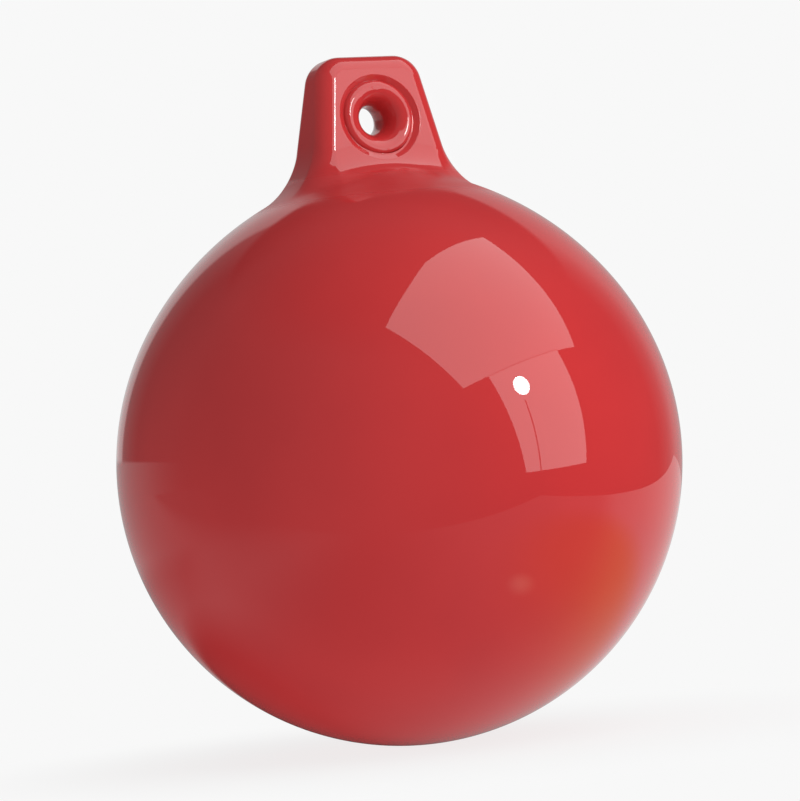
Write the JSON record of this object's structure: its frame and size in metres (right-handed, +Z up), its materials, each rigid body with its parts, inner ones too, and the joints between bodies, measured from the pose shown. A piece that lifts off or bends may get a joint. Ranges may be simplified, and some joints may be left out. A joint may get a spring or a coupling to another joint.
{
  "type": "net float",
  "caption": "Round hollow float with a moulded lug on top, whose trumpet-shaped eye takes the line that ties it to a net, mooring or cage.",
  "frame": {"origin": "on the ball's axis at the water's surface, 40 mm above the ball's lowest point, as the empty float rides", "axes": "+Z up along the lug's axis, +Y along the rope eye to the back, where the valve is, +X across the lug to its right side seen from the front"},
  "size_m": [0.2, 0.2, 0.2443],
  "materials": {
    "float_skin": "mirror-gloss moulded flexible PVC, red through and through",
    "valve_rubber": "satin black rubber",
    "valve_plastic": "semi-matt grey nylon"
  },
  "bodies": {
    "root": {"ball_shell": "float_skin", "lug": "float_skin", "eye_bush": "float_skin", "valve_body": "valve_rubber", "valve_plug": "valve_plastic"}
  },
  "joints": []
}
